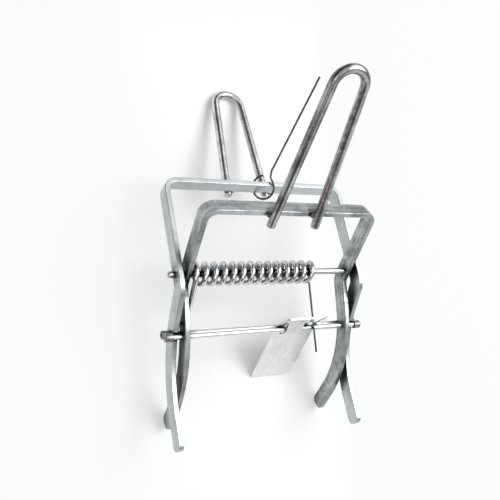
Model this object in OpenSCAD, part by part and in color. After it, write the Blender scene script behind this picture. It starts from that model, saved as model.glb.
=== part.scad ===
// Scissor mole trap lying on its back: two sprung strip jaws on one pivot rod.
// Sizes are worked out with the trap upright. x runs along the pivot rod, y to the far side, z to the handles.
// lay_down() then turns the whole trap onto its back, with the lowest point at z = 0.

/* [Frames] */
// Width over the outer frame's legs
outer_w = 120; // [100:1:160]
// Width of the flat strip
strip_w = 9.5; // [8.5:0.25:10.5]
// Thickness of the strip
strip_t = 3; // [2:0.25:4]
// Gap between an inner leg and an outer leg
side_gap = 2.5; // [1.5:0.25:4]
// Outside radius of the frames' top corners
corner_r = 8; // [5:0.5:12]
// Top of the outer frame's bar, measured along the leg from the pivot
outer_rise = 58; // [54:1:66]
// Top of the inner frame's bar, measured along the leg from the pivot
inner_rise = 46; // [42:1:50]
// Lean of the outer frame's upper legs to the far side, in degrees
outer_lean = 32.5; // [30:0.5:36]
// Lean of the inner frame's upper legs to the near side, in degrees
inner_lean = 29; // [26:0.5:32]
// Offset of the upper legs' middle line from the pivot
leg_offset = 1.8; // [1.5:0.1:2.1]

/* [Jaws] */
// Depth of the knee below the pivot
knee_drop = 6; // [5:0.5:7]
// Bend radius of the knee, on the strip's middle line
knee_r = 8; // [7:0.5:9]
// Splay of the run below the knee, in degrees
run_splay = 17; // [15:0.5:19]
// Length of the run below the knee
run_len = 18.8; // [17:0.2:21]
// Radius of the jaw's sweep
sweep_r = 65; // [60:1:75]
// Angle of the jaw's sweep, in degrees
sweep_angle = 50; // [46:1:54]
// Straight tail at the tip
tail_len = 18; // [12:1:22]
// Corner radius of the tips
tip_r = 3.5; // [1:0.5:4]

/* [Rods] */
// Diameter of the pivot rod
pivot_d = 3.8; // [3:0.1:4.5]
// Length of the pivot rod past the left leg
pivot_left = 4.5; // [2:0.5:6]
// Length of the pivot rod past the right leg
pivot_right = 1.5; // [0.5:0.5:4]
// Diameter of the two crossbars
bar_d = 3.2; // [2.6:0.1:3.4]
// Depth of the crossbars below the pivot
bar_drop = 34.1; // [33:0.1:36]
// Half of the distance between the crossbars' middles
bar_half = 2.8; // [2.7:0.05:3]
// Diameter of the collars on the crossbars' ends
collar_d = 5; // [4.5:0.1:5.2]
// Length of a collar
collar_len = 4.7; // [3:0.1:6]

/* [Torsion spring] */
// Diameter of the spring wire
spring_d = 3; // [2.4:0.1:3.2]
// Radius of the coil's middle line
coil_r = 5.7; // [5.6:0.1:6.2]
// Place of the coil's left end, from the inner frame's left leg to the wire's middle line
coil_inset = 2; // [2:0.1:4]
// Turns, the last one drawn in to the pivot rod
coil_turns = 13.5; // [11.5:1:13.5]
// Bend radius of the hooked end, on the wire's middle line
spring_hook_r = 3; // [2.5:0.1:3.5]
// Place of the hooked end along the jaw's sweep, in degrees
spring_hook_at = 6; // [4:0.5:7]

/* [Handles] */
// Diameter of the handle rod
handle_d = 5; // [4:0.25:6]
// Radius of the loop, on the rod's middle line
loop_r = 9.2; // [8:0.2:11]
// Spread of each handle leg, in degrees
handle_spread = 3.3; // [2.5:0.1:4]
// Top of both loops, on the rod's middle line, along the leg from the pivot
loop_top = 129; // [115:1:140]
// Sideways place of the handles
handle_x = -2; // [-5:0.5:2]
// Length of the outer handle below its bar
outer_foot = 1.5; // [1:0.25:3]
// Length of the inner handle below its bar
inner_foot = 5; // [2:0.5:6]

/* [Trigger plate] */
// Thickness of the sheet
sheet_t = 0.9; // [0.7:0.05:1]
// Left edge of the plate
plate_left = 5; // [2:0.5:8]
// Width of the plate
plate_w = 28; // [26:0.5:30]
// Length of the flange
flange_len = 15.5; // [13:0.5:17]
// Slope of the flap below level, in degrees
flap_slope = 57.2; // [56:0.2:58]
// Bend between the flap and the flange, in degrees
flange_bend = 28; // [24:1:30]
// Width of the slot for the trip wire
slot_w = 4.8; // [4.6:0.1:5]
// Middle of the slot
slot_x = 28.7; // [28.5:0.1:28.9]
// Left edge of the lanced strip that holds the plate on its bar
knuckle_left = 10.2; // [8:0.2:11]
// Width of the lanced strip
knuckle_w = 11; // [8:0.5:12]
// Corner radius of the plate
plate_corner = 2; // [1:0.25:3]

/* [Wires] */
// Diameter of the trip wire
trip_d = 1.2; // [0.9:0.1:1.3]
// Place of the trip wire's eye on the pivot rod
trip_x = 25.6; // [25.4:0.1:25.8]
// Length of the trip wire below its eye
trip_reach = 46.6; // [40:0.2:52]
// Sideways slope of the trip wire, in degrees
trip_slant = 6.8; // [6:0.1:7.4]
// Swing of the trip wire to the near side, in degrees
trip_swing = 9; // [8.9:0.1:9.5]
// Diameter of the hook wire
hook_d = 1.2; // [1:0.1:1.4]
// Radius of the hook wire's eye, on the wire's middle line
hook_eye_r = 7.2; // [7.1:0.1:7.6]
// Sideways place of the hook wire's eye on the outer bar
hook_x = 6.2; // [5.6:0.1:6.6]
// Turn of the eye's plane away from the bar, in degrees
hook_turn = 36; // [30:1:37]
// Length of the hook wire's shank from the eye's middle
hook_len = 73; // [55:1:80]

/* [Hidden] */
$fn = 48;
// Clearances: fixed fits, the turning fit on the pivot rod, and between pieces of different bodies
fix_gap = 0.05;
turn_gap = 0.08;
free_gap = 0.3;
weld_gap = 0.02;
// Slack of the notches round the other frame's crossbar
notch_slack = 1;
// A handle's legs run this far into its loop, and are a hair thinner than the loop
rod_lap = 0.2;
rod_shy = 0.02;
// Largest step of the curves in a side view, in degrees
arc_step = 5;

inner_w = outer_w - 2*(strip_t + side_gap);
tail_splay = run_splay - sweep_angle;
// Long enough to cut through the whole trap
through = outer_w + 40;

// Places in the side view are [y, z]. Heading a means down, turned a degrees to the far side.
function heading(a) = [sin(a), -cos(a)];
function across(a) = [cos(a), sin(a)];
function knee_cut(lean) = knee_r*tan((lean + run_splay)/2);
function knee(lean) = [-leg_offset - knee_drop*tan(lean), -knee_drop];
function knee_start(lean) = knee(lean) - knee_cut(lean)*heading(-lean);
function knee_middle(lean) = knee_start(lean) + knee_r*across(-lean);
function run_end(lean) = knee(lean) + run_len*heading(run_splay);
function sweep_middle(lean) = run_end(lean) - sweep_r*across(run_splay);
function sweep_end(lean) = sweep_middle(lean) + sweep_r*across(tail_splay);
// Middle of a tip's rounded corner: edge 1 is the far edge and -1 the near edge of the outer frame's tail
function tip_corner(lean, edge) = sweep_end(lean) + (tail_len - tip_r)*heading(tail_splay)
    + edge*(strip_w/2 - tip_r)*across(tail_splay);

// Points of an arc in a side view, at steps of at most arc_step
function arc(middle, r, from, to) = let (n = ceil(abs(to - from)/arc_step))
    [for (i = [0:n]) middle + r*across(from + (to - from)*i/n)];

// A side-view place as it lies in the plane of an upper leg
function leaning(p, lean) = let (q = p + [leg_offset, 0]) [q*across(-lean), -q*heading(-lean)];

// Outline of one leg: down its far edge, round the tip and up its near edge
function leg_outline(rise, lean) = concat(
    [[strip_w/2, rise - corner_r]],
    [for (p = concat(
        arc(knee_middle(lean), knee_r - strip_w/2, 180 - lean, 180 + run_splay),
        arc(sweep_middle(lean), sweep_r + strip_w/2, run_splay, tail_splay),
        arc(tip_corner(lean, 1), tip_r, tail_splay, tail_splay - 90),
        arc(tip_corner(lean, -1), tip_r, tail_splay - 90, tail_splay - 180),
        arc(sweep_middle(lean), sweep_r - strip_w/2, tail_splay, run_splay),
        arc(knee_middle(lean), knee_r + strip_w/2, 180 + run_splay, 180 - lean)
    )) leaning(p, lean)],
    [[-strip_w/2, rise - corner_r]]
);

// Handles lie on the outward edge of the strip, and the loop's middle is one loop radius below its top
handle_off = strip_w/2 + handle_d/2 + fix_gap;
loop_s = loop_top - loop_r;
loop_back = [-leg_offset + loop_top*sin(outer_lean) + handle_off*cos(outer_lean),
             loop_top*cos(outer_lean) - handle_off*sin(outer_lean)];

// The resting surface touches the outer handle's loop and the inner frame's tips
rest_tip = [-tip_corner(inner_lean, -1)[0], tip_corner(inner_lean, -1)[1]];
rest_span = loop_back - rest_tip;
back_lean = acos((tip_r - handle_d/2)/norm(rest_span)) - atan2(rest_span[1], rest_span[0]);
rest_out = [cos(back_lean), -sin(back_lean)];
rest_along = [sin(back_lean), cos(back_lean)];
rest_depth = loop_back*rest_out + handle_d/2;
lying_top = loop_back*rest_along + handle_d/2;
lying_bottom = tip_corner(outer_lean, 1)*rest_along - tip_r;

module lay_down() {
    translate([0, -(lying_top + lying_bottom)/2, rest_depth])
        rotate([back_lean - 90, 0, 0])
        children();
}

// Moves a piece into the leaning plane of an upper leg: z then runs along the leg
module lean_over(lean) {
    translate([0, -leg_offset, 0])
        rotate([-lean, 0, 0])
        children();
}

module along_x(from, to, d) {
    translate([from, 0, 0])
        rotate([0, 90, 0])
        cylinder(h = to - from, d = d);
}

// Extrudes an outline of side-view points along x
module side_shape(left, width, outline) {
    translate([left, 0, 0])
        rotate([90, 0, 90])
        linear_extrude(width)
        polygon(outline);
}

module top_bar(w, rise) {
    translate([corner_r - w/2, -strip_w/2, rise - strip_t])
        cube([w - 2*corner_r, strip_w, strip_t]);
    for (side = [-1, 1])
        translate([side*(w/2 - corner_r), 0, rise - corner_r])
            rotate([90, 0, 0])
            rotate_extrude(angle = 90, start = side > 0 ? 0 : 90)
            translate([corner_r - strip_t, -strip_w/2])
            square([strip_t, strip_w]);
}

// A frame is bent from one strip. Its own crossbar goes through two holes, and the other frame's
// crossbar rests in a notch in the opposite edge of each leg.
module frame(w, rise, lean, pivot_gap) {
    notch_r = bar_d/2 + free_gap + notch_slack;
    difference() {
        lean_over(lean) {
            top_bar(w, rise);
            for (left = [-w/2, w/2 - strip_t])
                side_shape(left, strip_t, leg_outline(rise, lean));
        }
        along_x(-through/2, through/2, pivot_d + 2*pivot_gap);
        translate([0, bar_half, -bar_drop])
            along_x(-through/2, through/2, bar_d + 2*fix_gap);
        translate([0, -bar_half - notch_slack, -bar_drop])
            along_x(-through/2, through/2, 2*notch_r);
    }
}

function handle_leg_len(rise, foot) =
    (loop_s + loop_r*sin(handle_spread) - (rise - strip_t - foot))/cos(handle_spread);

module handle_leg(side, rise, foot, d) {
    translate([side*loop_r*cos(handle_spread), 0, loop_r*sin(handle_spread)])
        rotate([0, -side*handle_spread, 0])
        translate([0, 0, -handle_leg_len(rise, foot)])
        cylinder(h = handle_leg_len(rise, foot) + rod_lap, d = d - rod_shy);
}

module handle(rise, lean, foot) {
    lean_over(lean)
        translate([handle_x, handle_off, loop_s]) {
            rotate([90, 0, 0])
                rotate_extrude(angle = 180 - 2*handle_spread, start = handle_spread)
                translate([loop_r, 0])
                circle(d = handle_d);
            for (side = [-1, 1])
                handle_leg(side, rise, foot, handle_d);
        }
}

// A bead on each side of a handle leg, in the corner between the rod and the strip's edge
module welds(rise, lean, foot) {
    bead_r = 1.5;
    bead_out = 0.9;
    foot_x = loop_r*cos(handle_spread) + (loop_s + loop_r*sin(handle_spread) - rise + strip_t/2)*tan(handle_spread);
    lean_over(lean)
        difference() {
            for (side = [-1, 1], bead = [-1, 1])
                translate([handle_x + side*foot_x + bead*handle_d/2, strip_w/2 + bead_out, rise - strip_t])
                    rotate([0, -side*handle_spread, 0])
                    cylinder(h = strip_t, r = bead_r);
            translate([handle_x, handle_off, loop_s])
                for (side = [-1, 1])
                    handle_leg(side, rise, foot, handle_d + 2*weld_gap);
            translate([-through/2, -strip_w/2, rise - 2*strip_t])
                cube([through, strip_w, 3*strip_t]);
        }
}

// One crossbar, and the two collars outside the outer legs. It is drawn for the outer frame.
module crossbar() {
    reach = outer_w/2 + collar_len;
    translate([0, bar_half, -bar_drop])
        along_x(-reach, reach, bar_d);
}

module collars(gap) {
    for (side = [-1, 1])
        translate([side*(outer_w/2 + gap + (collar_len - gap)/2), bar_half, -bar_drop])
            rotate([0, 90, 0])
            rotate_extrude()
            polygon(collar_section(collar_len - gap));
}

// Half section of a collar with softened rims
function collar_section(len) = let (bore = bar_d/2 + fix_gap, out = collar_d/2, rim = 0.5) [
    [bore, -len/2], [out - rim, -len/2], [out, rim - len/2],
    [out, len/2 - rim], [out - rim, len/2], [bore, len/2]
];

module outer_frame() {
    color("silver")
        lay_down()
        frame(outer_w, outer_rise, outer_lean, fix_gap);
}

module inner_frame() {
    color("gainsboro")
        lay_down()
        mirror([0, 1, 0])
        frame(inner_w, inner_rise, inner_lean, turn_gap);
}

module outer_handle() {
    color("darkgray")
        lay_down()
        handle(outer_rise, outer_lean, outer_foot);
}

module inner_handle() {
    color("darkgray")
        lay_down()
        mirror([0, 1, 0])
        handle(inner_rise, inner_lean, inner_foot);
}

module outer_welds() {
    color("gray")
        lay_down()
        welds(outer_rise, outer_lean, outer_foot);
}

module inner_welds() {
    color("gray")
        lay_down()
        mirror([0, 1, 0])
        welds(inner_rise, inner_lean, inner_foot);
}

module outer_crossbar() {
    color("lightgray")
        lay_down()
        crossbar();
}

module inner_crossbar() {
    color("lightgray")
        lay_down()
        mirror([0, 1, 0])
        crossbar();
}

module outer_bar_collars() {
    color("gray")
        lay_down()
        collars(0);
}

module inner_bar_collars() {
    color("gray")
        lay_down()
        mirror([0, 1, 0])
        collars(free_gap);
}

module pivot_rod() {
    left = -outer_w/2 - pivot_left + pivot_d/2;
    color("lightgray")
        lay_down() {
        along_x(left, outer_w/2 + pivot_right, pivot_d);
        translate([left, 0, 0])
            sphere(d = pivot_d);
    }
}

// The spring's middle line. Its left leg hooks round the far edge of the outer frame's leg, runs up inside
// the inner frame and goes into turn 0 at the near side. The wire rises there towards the right.
tube_sides = 6;
// A tube of few sides gets its corners a little outside the wire, so that its section has the wire's area
function corner_reach(d) = d/2*sqrt(2*PI/(tube_sides*sin(360/tube_sides)));

// The coil's right end lies this far past the trip wire's eye
past_eye = 1.7;
draw_in = 0.3;
draw_right = 0.8;
coil_end_r = pivot_d/2 + free_gap + spring_d/2;
coil_left = -inner_w/2 + strip_t + coil_inset;
coil_pitch = (trip_x + past_eye - coil_left)/coil_turns;
steps_per_turn = 8;
coil_steps = round(coil_turns*steps_per_turn);

// 0 before the last stretch of the coil, then rising smoothly to 1 at its end
function drawn(turn) = let (u = max(0, (turn - coil_turns + draw_in)/draw_in)) u*u*(3 - 2*u);
function coil_radius(turn) = coil_r - (coil_r - coil_end_r)*drawn(turn);
function coil_point(turn) = [
    coil_left + coil_pitch*turn + draw_right*drawn(turn),
    -coil_radius(turn)*cos(360*turn),
    coil_radius(turn)*sin(360*turn)
];

// The leg bows a little to the near side
leg_bow = 1.3;
hook_place = sweep_middle(outer_lean)
    + (sweep_r + strip_w/2 + fix_gap + corner_reach(spring_d))*across(run_splay - spring_hook_at);
leg_corner = [coil_left, hook_place[0], hook_place[1]];
leg_middle = (leg_corner + coil_point(0))/2 - [0, leg_bow, 0];
leg_up = unit(leg_middle - leg_corner);
spring_path = concat(
    [[-outer_w/2 + strip_t/2, hook_place[0], hook_place[1]]],
    [for (a = [0:30:90]) leg_corner + spring_hook_r*((sin(a) - 1)*[1, 0, 0] + (1 - cos(a))*leg_up)],
    [leg_middle],
    [for (i = [0:coil_steps]) coil_point(i/steps_per_turn)]
);

// One unbroken tube along a path, as triangles. The side vector is carried on from point to point.
function unit(v) = v/norm(v);
function direction(path, i) =
    unit(path[min(i + 1, len(path) - 1)] - path[max(i - 1, 0)]);
function square_side(side, along) = unit(side - (side*along)*along);
function sides_along(path, i = 0, side = [0, 1, 0], done = []) =
    i == len(path) ? done :
    let (next = square_side(side, direction(path, i)))
    sides_along(path, i + 1, next, concat(done, [next]));

module tube(path, d) {
    sides = sides_along(path);
    n = len(path);
    r = corner_reach(d);
    rings = [for (i = [0:n - 1], k = [0:tube_sides - 1])
        let (other = cross(direction(path, i), sides[i]), a = 360*k/tube_sides)
        path[i] + r*(cos(a)*sides[i] + sin(a)*other)];
    walls = [for (i = [0:n - 2], k = [0:tube_sides - 1])
        let (a = i*tube_sides + k, b = i*tube_sides + (k + 1) % tube_sides)
        each [[a, a + tube_sides, b], [b, a + tube_sides, b + tube_sides]]];
    caps = [for (k = [1:tube_sides - 2])
        each [[0, k, k + 1], [(n - 1)*tube_sides, (n - 1)*tube_sides + k + 1, (n - 1)*tube_sides + k]]];
    polyhedron(points = rings, faces = concat(walls, caps));
}

// Least gap of the spring to itself, measured on points that lie at least half a turn apart
half_turn = steps_per_turn/2;
coil_gaps = [for (i = [0:len(spring_path) - 1], j = [i + half_turn:len(spring_path) - 1])
    norm(spring_path[i] - spring_path[j])];
echo(coil_gap = min(coil_gaps) - spring_d);

module torsion_spring() {
    color("dimgray")
        lay_down()
        tube(spring_path, spring_d);
}

// The plate's own view: x along the crossbar, the bar's middle at the origin,
// the flap going down along -z and the far crossbar on the +y side
plate_in = bar_d/2 + 0.15;
plate_out = plate_in + sheet_t;
knuckle_in = bar_d/2 + 0.1;
knuckle_reach = 6.2;
knuckle_slit = 0.25;
window_w = knuckle_w + 2*knuckle_slit;
slot_from = 0.5;
hole_d = 2;
hole_in = 12;
hole_down = 4.6;
// Overrun of the cutting shapes, and how far a corner's arc starts outside the edge
cut = 1;
corner_over = 0.03;

// The flap ends just above the resting surface
flap_foot = [-bar_half, -bar_drop] + plate_out*[sin(flap_slope), cos(flap_slope)];
flap_len = (rest_depth - free_gap - rest_out*flap_foot)/(rest_out*[cos(flap_slope), -sin(flap_slope)]);

// Side view of the sheet: the flap, the bend and the flange
function turned(p, a) = p[0]*across(a) + p[1]*across(a + 90);
function sheet_outline() = concat(
    [[plate_in, -flap_len], [plate_out, -flap_len]],
    arc([0, 0], plate_out, 0, flange_bend),
    [turned([plate_out, flange_len], flange_bend), turned([plate_in, flange_len], flange_bend)],
    arc([0, 0], plate_in, flange_bend, 0)
);

// The lanced strip leaves the sheet's middle at knuckle_reach, runs straight at this slope and then
// bends round the bar's near side
knuckle_mid = plate_in + sheet_t/2;
knuckle_mid_r = knuckle_in + sheet_t/2;
knuckle_meet = norm([knuckle_mid, knuckle_reach]);
knuckle_slope = asin(knuckle_mid_r/knuckle_meet) + atan2(knuckle_mid, knuckle_reach);
function knuckle_outline() =
    let (low = 180 + knuckle_slope, high = 180 - knuckle_slope + flange_bend,
        foot = [knuckle_mid, -knuckle_reach],
        head = turned([knuckle_mid, knuckle_reach], flange_bend))
    concat(
        [foot + sheet_t/2*across(low)],
        arc([0, 0], knuckle_in + sheet_t, low, high),
        [head + sheet_t/2*across(high), head - sheet_t/2*across(high)],
        arc([0, 0], knuckle_in, high, low),
        [foot - sheet_t/2*across(low)]
    );

// What is cut from a corner to round it. It starts a little outside both edges.
function corner_waste(r) = concat([[-cut, -cut], [r, -cut]], arc([r, r], r + corner_over, 270, 180), [[-cut, r]]);

// Rounds the two corners of the sheet's end at z = -len
module round_end(len) {
    for (side = [0, 1])
        translate([plate_left + side*plate_w, plate_out + cut, -len])
            mirror([side, 0, 0])
            rotate([90, 0, 0])
            linear_extrude(sheet_t + 2*cut)
            polygon(corner_waste(plate_corner));
}

module trigger_plate_flat() {
    difference() {
        side_shape(plate_left, plate_w, sheet_outline());
        round_end(flap_len);
        // The window that the lanced strip is pressed out of
        translate([knuckle_left - knuckle_slit, 0, -knuckle_reach])
            cube([window_w, plate_out + cut, knuckle_reach]);
        rotate([flange_bend, 0, 0]) {
            mirror([0, 0, 1])
                round_end(flange_len);
            translate([knuckle_left - knuckle_slit, 0, -knuckle_reach])
                cube([window_w, plate_out + cut, 2*knuckle_reach]);
            // The slot for the trip wire, open at the flange's edge
            translate([slot_x - slot_w/2, 0, slot_from])
                cube([slot_w, plate_out + cut, flange_len]);
            // The small hole near the flange's edge
            translate([plate_left + hole_in, plate_out + cut, flange_len - hole_down])
                rotate([90, 0, 0])
                cylinder(h = sheet_t + 2*cut, d = hole_d);
        }
    }
    side_shape(knuckle_left, knuckle_w, knuckle_outline());
}

module trigger_plate() {
    color("whitesmoke")
        lay_down()
        translate([0, -bar_half, -bar_drop])
        rotate([90 - flap_slope, 0, 0])
        trigger_plate_flat();
}

// The trip wire: a closed eye round the pivot rod and a straight shank that points away from the rod
module trip_wire() {
    eye_r = pivot_d/2 + turn_gap + trip_d/2;
    color("dimgray")
        lay_down() {
        translate([trip_x, 0, 0])
            rotate([0, 90, 0])
            rotate_extrude()
            translate([eye_r, 0])
            circle(d = trip_d);
        translate([trip_x, 0, 0])
            rotate([-trip_swing, 0, 0])
            translate([0, 0, -eye_r])
            rotate([0, -trip_slant, 0])
            translate([0, 0, -trip_reach])
            cylinder(h = trip_reach, d = trip_d);
    }
}

// The hook wire: an open eye round the outer bar and a shank that points away from the eye's middle
module hook_wire() {
    shank_angle = 65;
    open_angle = 30;
    color("dimgray")
        lay_down()
        lean_over(outer_lean)
        translate([hook_x, 0, outer_rise - strip_t/2])
        rotate([outer_lean, 0, 0])
        rotate([0, 0, hook_turn - 90])
        rotate([90, 0, 0]) {
            rotate_extrude(angle = 360 - open_angle, start = shank_angle + open_angle)
                translate([hook_eye_r, 0])
                circle(d = hook_d);
            rotate([0, 0, shank_angle])
                translate([hook_eye_r, 0, 0])
                rotate([0, 90, 0])
                cylinder(h = hook_len - hook_eye_r, d = hook_d);
        }
}

outer_frame();
inner_frame();
outer_handle();
inner_handle();
outer_welds();
inner_welds();
pivot_rod();
outer_crossbar();
inner_crossbar();
outer_bar_collars();
inner_bar_collars();
torsion_spring();
trigger_plate();
trip_wire();
hook_wire();
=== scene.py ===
import math
import bmesh
import bpy
import numpy as np
from mathutils import Matrix, Vector, noise


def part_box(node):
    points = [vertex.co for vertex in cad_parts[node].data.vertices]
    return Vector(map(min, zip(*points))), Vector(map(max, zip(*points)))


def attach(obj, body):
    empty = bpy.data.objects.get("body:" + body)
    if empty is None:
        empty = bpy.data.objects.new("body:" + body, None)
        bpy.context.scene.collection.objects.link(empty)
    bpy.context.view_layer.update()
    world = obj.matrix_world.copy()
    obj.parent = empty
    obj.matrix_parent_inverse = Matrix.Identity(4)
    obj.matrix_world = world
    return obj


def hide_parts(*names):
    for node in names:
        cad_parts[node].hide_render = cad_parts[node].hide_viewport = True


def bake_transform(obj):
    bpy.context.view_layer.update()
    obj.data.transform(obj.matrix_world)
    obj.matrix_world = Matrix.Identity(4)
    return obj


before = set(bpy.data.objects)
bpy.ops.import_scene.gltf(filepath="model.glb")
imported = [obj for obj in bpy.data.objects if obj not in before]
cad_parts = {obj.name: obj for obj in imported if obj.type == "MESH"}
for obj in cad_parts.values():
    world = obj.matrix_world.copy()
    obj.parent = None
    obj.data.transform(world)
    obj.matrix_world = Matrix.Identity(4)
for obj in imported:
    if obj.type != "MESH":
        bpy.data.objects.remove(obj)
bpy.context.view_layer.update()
MM = 0.001

# Sizes as the part's source has them, in millimetres and degrees

# Frames
OUTER_W = 120.0  # width over the outer legs
STRIP_W = 9.5  # width of the strip
STRIP_T = 3.0  # thickness of the strip
SIDE_GAP = 2.5  # gap between an inner leg and an outer leg
CORNER_R = 8.0  # outside radius of the top corners
OUTER_RISE = 58.0  # top of the outer bar, along its leg from the pivot
INNER_RISE = 46.0  # top of the inner bar, along its leg
OUTER_LEAN = 32.5  # outer legs' lean to the far side
INNER_LEAN = 29.0  # inner legs' lean to the near side
LEG_OFFSET = 1.8  # legs' middle line off the pivot

# Jaws
KNEE_DROP = 6.0  # depth of the knee below the pivot
KNEE_R = 8.0  # bend radius of the knee's middle line
RUN_SPLAY = 17.0  # splay of the run below it
RUN_LEN = 18.8  # length of that run
SWEEP_R = 65.0  # radius of the sweep
SWEEP_ANGLE = 50.0  # angle of the sweep
TAIL_LEN = 18.0  # straight tail at the tip
TIP_R = 3.5  # corner radius of the tips

# Rods and collars
PIVOT_D = 3.8  # diameter of the pivot rod
PIVOT_LEFT = 4.5  # pivot rod past the left leg
PIVOT_RIGHT = 1.5  # pivot rod past the right leg
BAR_D = 3.2  # diameter of the two crossbars
BAR_DROP = 34.1  # crossbars, below the pivot
BAR_HALF = 2.8  # half of the distance between them
COLLAR_D = 5.0  # diameter of the collars
COLLAR_LEN = 4.7  # length of a collar

# Torsion spring
SPRING_D = 3.0  # diameter of the spring wire
COIL_R = 5.7  # radius of the coil's middle line
COIL_INSET = 2.0  # coil's left end, from the inner left leg
COIL_TURNS = 13.5  # turns, the last one drawn in to the rod
PAST_EYE = 1.7  # coil's right end, past the trip wire's eye
SPRING_HOOK_R = 3.0  # bend radius of the hooked end
SPRING_HOOK_AT = 6.0  # its place along the jaw's sweep
LEG_BOW = 1.3  # bow of the leg, to the near side

# Handles
HANDLE_D = 5.0  # diameter of the handle rod
LOOP_R = 9.2  # radius of the loop's middle line
SPREAD = 3.3  # spread of each handle leg
LOOP_TOP = 129.0  # top of both loops, along the legs
HANDLE_X = -2.0  # sideways place of the handles
OUTER_FOOT = 1.5  # outer handle below its bar
INNER_FOOT = 5.0  # inner handle below its bar

# Trigger plate
SHEET_T = 0.9  # thickness of the sheet
PLATE_LEFT = 5.0  # left edge of the plate
PLATE_W = 28.0  # width of the plate
FLANGE_LEN = 15.5  # length of the flange
FLAP_SLOPE = 57.2  # slope of the flap below level
FLANGE_BEND = 28.0  # bend from the flap to the flange
SLOT_W = 4.8  # width of the slot for the trip wire
SLOT_X = 28.7  # middle of the slot
KNUCKLE_LEFT = 10.2  # left edge of the lanced strip
KNUCKLE_W = 11.0  # width of the lanced strip
PLATE_CORNER = 2.0  # corner radius of the plate

# Wires
TRIP_D = 1.2  # diameter of the trip wire
TRIP_X = 25.6  # place of its eye on the pivot rod
TRIP_REACH = 46.6  # length below its eye
TRIP_SLANT = 6.8  # its sideways slope
TRIP_SWING = 9.0  # its swing to the near side
HOOK_D = 1.2  # diameter of the hook wire
HOOK_EYE_R = 7.2  # radius of its eye
HOOK_X = 6.2  # place of the eye on the outer bar
HOOK_TURN = 36.0  # turn of the eye's plane from the bar
HOOK_LEN = 73.0  # shank, from the eye's middle

# Clearances of fixed fits, of turning fits, and between bodies
FIX = 0.05
TURN = 0.08
FREE = 0.3

INNER_W = OUTER_W - 2 * (STRIP_T + SIDE_GAP)
TAIL_SPLAY = RUN_SPLAY - SWEEP_ANGLE
HANDLE_OFF = STRIP_W / 2 + HANDLE_D / 2 + FIX
LOOP_S = LOOP_TOP - LOOP_R
COIL_LEFT = -INNER_W / 2 + STRIP_T + COIL_INSET
COIL_PITCH = (TRIP_X + PAST_EYE - COIL_LEFT) / COIL_TURNS


def sind(a):
    return math.sin(math.radians(a))


def cosd(a):
    return math.cos(math.radians(a))


def tand(a):
    return math.tan(math.radians(a))


# Side view: places are [y, z], with the pivot at the middle

def heading(a):
    """The direction down, turned a degrees to the far side."""
    return np.array([sind(a), -cosd(a)])


def across(a):
    """The direction at right angles to heading(a), to the far side."""
    return np.array([cosd(a), sind(a)])


def knee_cut(lean):
    """Length that the knee's bend takes off each straight beside it."""
    return KNEE_R * tand((lean + RUN_SPLAY) / 2)


def knee(lean):
    return np.array([-LEG_OFFSET - KNEE_DROP * tand(lean), -KNEE_DROP])


def knee_start(lean):
    return knee(lean) - knee_cut(lean) * heading(-lean)


def knee_middle(lean):
    return knee_start(lean) + KNEE_R * across(-lean)


def run_end(lean):
    return knee(lean) + RUN_LEN * heading(RUN_SPLAY)


def sweep_middle(lean):
    return run_end(lean) - SWEEP_R * across(RUN_SPLAY)


def sweep_end(lean):
    return sweep_middle(lean) + SWEEP_R * across(TAIL_SPLAY)


def tip_corner(lean, edge):
    """Middle of a tip's corner arc, on the edge 1 or -1."""
    return (sweep_end(lean) + (TAIL_LEN - TIP_R) * heading(TAIL_SPLAY)
            + edge * (STRIP_W / 2 - TIP_R) * across(TAIL_SPLAY))


# How the trap lies: the floor touches the outer handle's loop and the inner jaws' tips
LOOP_BACK = np.array([
    -LEG_OFFSET + LOOP_TOP * sind(OUTER_LEAN) + HANDLE_OFF * cosd(OUTER_LEAN),
    LOOP_TOP * cosd(OUTER_LEAN) - HANDLE_OFF * sind(OUTER_LEAN)])
REST_TIP = tip_corner(INNER_LEAN, -1) * np.array([-1, 1])
SPAN = LOOP_BACK - REST_TIP
BACK_LEAN = (math.degrees(math.acos((TIP_R - HANDLE_D / 2) / np.linalg.norm(SPAN)))
             - math.degrees(math.atan2(SPAN[1], SPAN[0])))
REST_OUT = np.array([cosd(BACK_LEAN), -sind(BACK_LEAN)])
REST_ALONG = np.array([sind(BACK_LEAN), cosd(BACK_LEAN)])
REST_DEPTH = LOOP_BACK @ REST_OUT + HANDLE_D / 2
HIGH_END = LOOP_BACK @ REST_ALONG + HANDLE_D / 2
MIDDLE = (HIGH_END + tip_corner(OUTER_LEAN, 1) @ REST_ALONG - TIP_R) / 2


def lie(p):
    """A place on the upright trap, in mm, as it lies in the row frame, in m."""
    q = np.array([p[1], p[2]])
    return Vector((p[0], q @ REST_ALONG - MIDDLE, REST_DEPTH - q @ REST_OUT)) * MM


def turn(d):
    """A direction on the upright trap, in the row frame."""
    q = np.array([d[1], d[2]])
    return Vector((d[0], q @ REST_ALONG, -(q @ REST_OUT)))


def leaned(lean, side, x, off, s):
    """A place from x, the offset outwards and the length along an upper leg.

    side is 1 for the outer frame and -1 for the inner one.
    """
    y = -LEG_OFFSET + s * sind(lean) + off * cosd(lean)
    return np.array([x, side * y, s * cosd(lean) - off * sind(lean)])


# Camera, fitted to the photograph: the focal length in pixels, angles in radians, the place in mm
CAM_FOCAL = 633.566
CAM_HEADING = 0.487774
CAM_PITCH = 0.143217
CAM_ROLL = 0.0703853
CAM_AT = (-182.175, -314.995, 64.704)
FRAME_PIXELS = 500
SENSOR_W = 36
CLIP_NEAR = 0.01
CLIP_FAR = 20


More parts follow.
